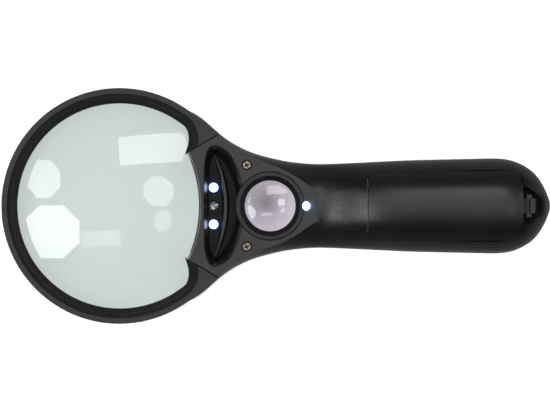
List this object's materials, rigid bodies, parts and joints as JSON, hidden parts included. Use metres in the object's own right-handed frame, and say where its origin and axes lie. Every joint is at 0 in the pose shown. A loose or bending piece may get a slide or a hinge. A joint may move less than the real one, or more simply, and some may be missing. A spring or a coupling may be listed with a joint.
{
  "type": "illuminated hand magnifier",
  "caption": "Hand-held round magnifier with a loupe in its neck, white and ultraviolet lamps for checking banknotes, and a battery handle.",
  "frame": {"origin": "bottom centre of the bounding box, on the plane that the user-side rim and the handle rest on", "axes": "+X from the lens to the free end of the handle, +Z out of the lamp side, Y across"},
  "size_m": [0.1909, 0.082, 0.026],
  "materials": {
    "housing": "fine spark-eroded black ABS",
    "ring": "fine spark-eroded black ABS",
    "door": "fine spark-eroded black ABS, slightly polished by handling",
    "bezel": "satin black ABS",
    "knob": "ribbed black ABS",
    "lens": "clear polished acrylic",
    "loupe": "clear polished acrylic",
    "led_white": "clear epoxy, lit white",
    "led_uv": "clear epoxy, unlit",
    "screw": "nickel plated steel",
    "spring": "spring steel wire",
    "contact": "nickel plated sheet",
    "board": "green solder mask",
    "resistor": "chip ceramic",
    "cell": "plain printed sleeve over steel",
    "switch": "moulded nylon",
    "lead_red": "pvc insulation",
    "lead_black": "pvc insulation"
  },
  "bodies": {
    "root": {"front_housing": "housing", "rear_housing": "housing", "lens_ring": "ring", "main_lens": "lens", "loupe_lens_upper": "loupe", "loupe_lens_lower": "loupe", "loupe_bezel": "bezel", "loupe_spacer": "bezel", "led_white_upper": "led_white", "led_uv": "led_uv", "led_white_lower": "led_white", "led_loupe": "led_white", "lamp_board": "board", "loupe_lamp_board": "board", "neck_screws": "screw", "handle_screw": "screw", "battery_cell_left": "cell", "battery_cell_right": "cell", "battery_cell_lower": "cell", "battery_springs": "spring", "contacts_positive": "contact", "contacts_negative": "contact", "switch_body": "switch", "switch_board": "board", "resistors": "resistor", "lead_lamps_red": "lead_red", "lead_lamps_black": "lead_black", "lead_loupe_lamp_red": "lead_red", "lead_loupe_lamp_black": "lead_black", "lead_battery_red": "lead_red", "lead_battery_black": "lead_black"},
    "door": {"battery_door": "door"},
    "latch": {"door_latch": "door"},
    "knob": {"switch_knob": "knob", "switch_slider": "switch"}
  },
  "joints": [
    {"name": "door_hinge", "type": "hinge", "parent": "root", "child": "door", "pos_m": [0.0318, 0, 0.0243], "axis": [0, -1, 0], "range_deg": [0, 40]},
    {"name": "latch_flex", "type": "hinge", "parent": "door", "child": "latch", "pos_m": [0.0865, 0, 0.0174], "axis": [0, -1, 0], "range_deg": [0, 6], "stiffness_Nm_per_rad": 0.12},
    {"name": "switch_slide", "type": "slide", "parent": "root", "child": "knob", "axis": [1, 0, 0], "range_m": [0, 0.006]}
  ]
}
